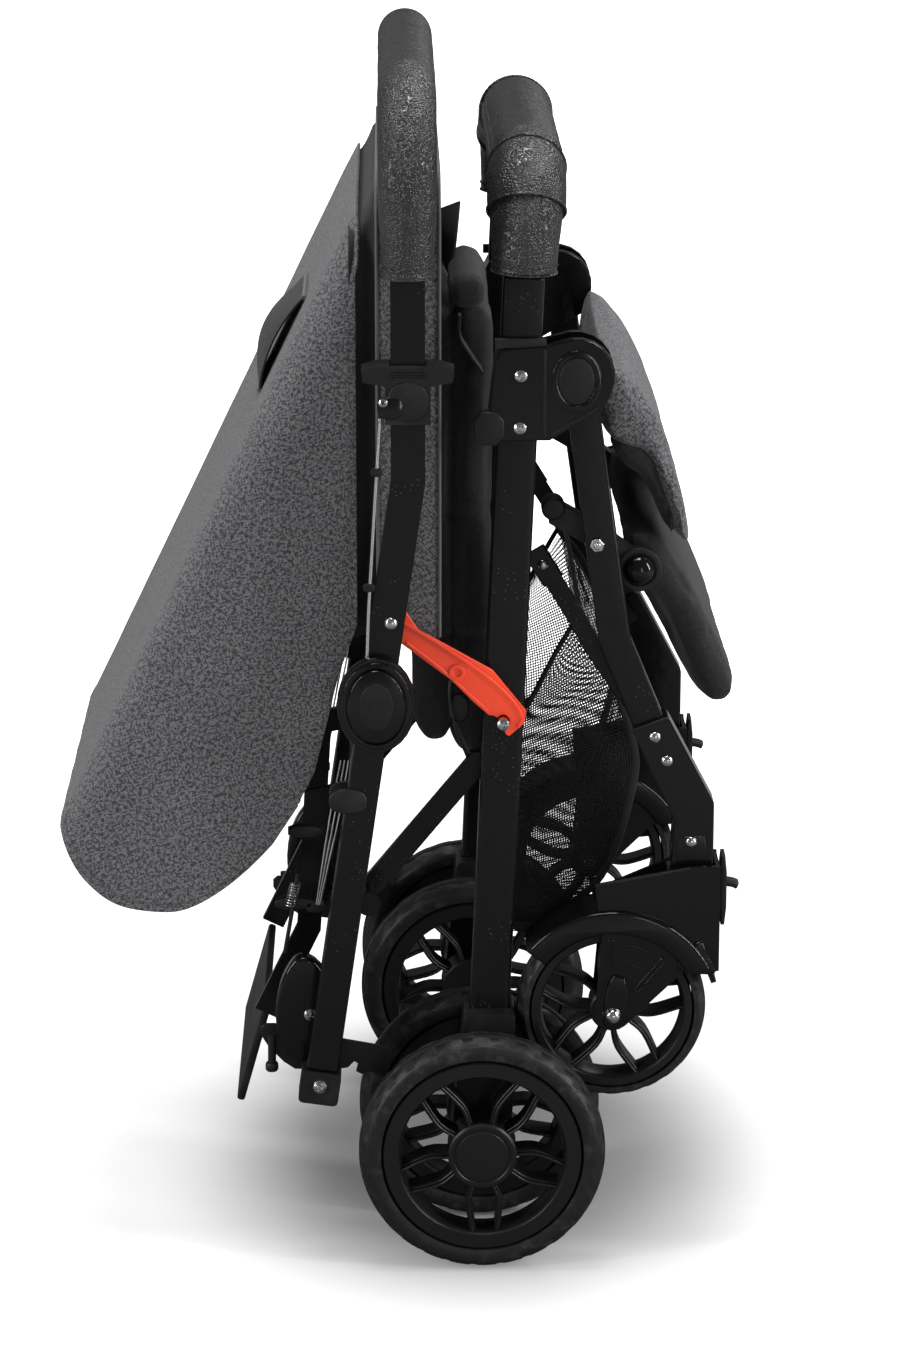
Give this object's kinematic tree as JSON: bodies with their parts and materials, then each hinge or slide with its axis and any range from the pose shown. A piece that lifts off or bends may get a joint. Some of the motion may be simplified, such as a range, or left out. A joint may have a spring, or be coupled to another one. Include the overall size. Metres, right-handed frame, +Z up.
{
  "type": "stroller",
  "caption": "Reversible-handle stroller in its folded pose: twin rear wheels, front casters, padded front bar and push handle, hood, seat pads, mesh basket and an orange fold lock.",
  "frame": {"origin": "middle of the folded length and width, at the level of the bottom of the rear tyres", "axes": "+Z up along the folded height, +X towards the stroller's front, -Y the near side of the picture"},
  "size_m": [0.4915, 0.476, 0.873],
  "materials": {
    "black_paint": "satin black powder coat",
    "black_plastic": "fine-grained black",
    "gloss_plastic": "glossy black",
    "tyre_foam": "black foam tyre",
    "chrome": "bright chrome",
    "dark_steel": "dark coated steel",
    "leatherette": "black grained leatherette",
    "heather_cloth": "charcoal heather cloth",
    "black_cloth": "black cloth",
    "black_net": "black mesh",
    "orange_plastic": "bright orange"
  },
  "bodies": {
    "rear_frame": {"rear_leg_near": "black_paint", "rear_leg_far": "black_paint", "front_bar": "black_paint", "front_bar_grip": "leatherette", "leg_bracket_near": "black_plastic", "leg_bracket_far": "black_plastic", "axle_housing_near": "black_plastic", "axle_housing_far": "black_plastic", "rear_axle": "dark_steel", "fold_stud_near": "chrome", "fold_stud_far": "chrome", "basket": "black_net"},
    "brake": {"brake_pedal": "black_plastic"},
    "front_frame": {"front_leg_near": "black_paint", "front_leg_far": "black_paint", "front_shoe_near": "gloss_plastic", "front_shoe_far": "gloss_plastic", "caster_housing_near": "black_plastic", "caster_housing_far": "black_plastic", "leg_rest_hinge_near": "black_plastic", "leg_rest_hinge_far": "black_plastic", "seat_apron": "heather_cloth"},
    "leg_rest": {"leg_rest_pad": "black_cloth"},
    "seat": {"seat_pad": "black_cloth"},
    "side_links": {"side_link_near": "black_paint", "side_link_far": "black_paint"},
    "handle_frame": {"push_handle": "black_paint", "push_handle_grip": "leatherette", "oval_hub_near": "black_plastic", "oval_hub_far": "black_plastic", "lower_tube_near": "black_paint", "lower_tube_far": "black_paint", "end_block_near": "black_plastic", "end_block_far": "black_plastic", "lower_cross_bar": "black_paint", "backrest_pad": "black_cloth"},
    "fold_lock": {"fold_lock_hook": "orange_plastic"},
    "foot_board": {"foot_board": "black_plastic"},
    "hood": {"canopy": "heather_cloth", "canopy_bow": "dark_steel"},
    "rear_wheel_outer_near": {"rear_tyre_outer_near": "tyre_foam", "rear_rim_outer_near": "black_plastic"},
    "rear_wheel_inner_near": {"rear_tyre_inner_near": "tyre_foam", "rear_rim_inner_near": "black_plastic"},
    "caster_near": {"caster_fork_near": "gloss_plastic", "front_axle_bolt_near": "chrome"},
    "front_wheel_near": {"front_tyre_near": "tyre_foam", "front_rim_near": "black_plastic"},
    "release_collar_near": {"release_collar_near": "black_plastic"},
    "hook_plate_near": {"hook_plate_near": "dark_steel"},
    "rear_wheel_outer_far": {"rear_tyre_outer_far": "tyre_foam", "rear_rim_outer_far": "black_plastic"},
    "rear_wheel_inner_far": {"rear_tyre_inner_far": "tyre_foam", "rear_rim_inner_far": "black_plastic"},
    "caster_far": {"caster_fork_far": "gloss_plastic", "front_axle_bolt_far": "chrome"},
    "front_wheel_far": {"front_tyre_far": "tyre_foam", "front_rim_far": "black_plastic"},
    "release_collar_far": {"release_collar_far": "black_plastic"},
    "hook_plate_far": {"hook_plate_far": "dark_steel"}
  },
  "joints": [
    {"name": "front_leg_fold", "type": "hinge", "parent": "rear_frame", "child": "front_frame", "pos_m": [0.1258, 0, 0.6535], "axis": [0, -1, 0], "range_deg": [0, 52.6]},
    {"name": "side_link_fold", "type": "hinge", "parent": "rear_frame", "child": "side_links", "pos_m": [0.0598, 0, 0.372], "axis": [0, 1, 0], "range_deg": [0, 83.32]},
    {"name": "handle_fold", "type": "hinge", "parent": "side_links", "child": "handle_frame", "pos_m": [-0.0241, 0, 0.2696], "axis": [0, -1, 0], "range_deg": [0, 146.54]},
    {"name": "seat_fold", "type": "hinge", "parent": "rear_frame", "child": "seat", "pos_m": [0.0758, 0, 0.451], "axis": [0, 1, 0], "range_deg": [0, 48.7]},
    {"name": "foot_board_flip", "type": "hinge", "parent": "handle_frame", "child": "foot_board", "pos_m": [-0.1022, 0, 0.152], "axis": [0, 1, 0], "range_deg": [0, 81.77]},
    {"name": "fold_lock_release", "type": "hinge", "parent": "handle_frame", "child": "fold_lock", "pos_m": [-0.007, 0, 0.4857], "axis": [0, -1, 0], "range_deg": [0, 30]},
    {"name": "hood_swing", "type": "hinge", "parent": "handle_frame", "child": "hood", "pos_m": [0.0043, 0, 0.545], "axis": [0, -1, 0], "range_deg": [0, 8]},
    {"name": "leg_rest_tilt", "type": "hinge", "parent": "front_frame", "child": "leg_rest", "pos_m": [0.1713, 0, 0.5105], "axis": [0, 1, 0], "range_deg": [0, 10]},
    {"name": "brake_press", "type": "hinge", "parent": "rear_frame", "child": "brake", "pos_m": [0.0578, 0, 0.09], "axis": [0, -1, 0], "range_deg": [0, 14]},
    {"name": "rear_wheel_spin_outer_near", "type": "hinge", "parent": "rear_frame", "child": "rear_wheel_outer_near", "pos_m": [0.0578, -0.2225, 0.09], "axis": [0, 1, 0], "continuous": true},
    {"name": "rear_wheel_spin_inner_near", "type": "hinge", "parent": "rear_frame", "child": "rear_wheel_inner_near", "pos_m": [0.0578, -0.1255, 0.09], "axis": [0, 1, 0], "continuous": true},
    {"name": "caster_swivel_near", "type": "hinge", "parent": "front_frame", "child": "caster_near", "pos_m": [0.2098, -0.174, 0.262], "axis": [0, 0, 1], "range_deg": [-4, 4]},
    {"name": "front_wheel_spin_near", "type": "hinge", "parent": "caster_near", "child": "front_wheel_near", "pos_m": [0.1533, -0.174, 0.184], "axis": [0, 1, 0], "continuous": true},
    {"name": "release_collar_pull_near", "type": "slide", "parent": "handle_frame", "child": "release_collar_near", "axis": [0, 0, 1], "range_m": [0, 0.012]},
    {"name": "hook_plate_lift_near", "type": "slide", "parent": "handle_frame", "child": "hook_plate_near", "axis": [0.144, 0, 0.9896], "range_m": [0, 0.012]},
    {"name": "rear_wheel_spin_outer_far", "type": "hinge", "parent": "rear_frame", "child": "rear_wheel_outer_far", "pos_m": [0.0578, 0.2225, 0.09], "axis": [0, 1, 0], "continuous": true},
    {"name": "rear_wheel_spin_inner_far", "type": "hinge", "parent": "rear_frame", "child": "rear_wheel_inner_far", "pos_m": [0.0578, 0.1255, 0.09], "axis": [0, 1, 0], "continuous": true},
    {"name": "caster_swivel_far", "type": "hinge", "parent": "front_frame", "child": "caster_far", "pos_m": [0.2098, 0.174, 0.262], "axis": [0, 0, 1], "range_deg": [-4, 4]},
    {"name": "front_wheel_spin_far", "type": "hinge", "parent": "caster_far", "child": "front_wheel_far", "pos_m": [0.1533, 0.174, 0.184], "axis": [0, 1, 0], "continuous": true},
    {"name": "release_collar_pull_far", "type": "slide", "parent": "handle_frame", "child": "release_collar_far", "axis": [0, 0, 1], "range_m": [0, 0.012]},
    {"name": "hook_plate_lift_far", "type": "slide", "parent": "handle_frame", "child": "hook_plate_far", "axis": [0.144, 0, 0.9896], "range_m": [0, 0.012]}
  ],
  "couplings": [
    {"joint": "side_link_fold", "follows": "front_leg_fold", "ratio": 1.5838},
    {"joint": "handle_fold", "follows": "front_leg_fold", "ratio": 2.7858},
    {"joint": "seat_fold", "follows": "front_leg_fold", "ratio": 0.92573},
    {"joint": "foot_board_flip", "follows": "front_leg_fold", "ratio": 1.5544},
    {"joint": "hook_plate_lift_near", "follows": "release_collar_pull_near", "ratio": 1},
    {"joint": "hook_plate_lift_far", "follows": "release_collar_pull_far", "ratio": 1}
  ]
}
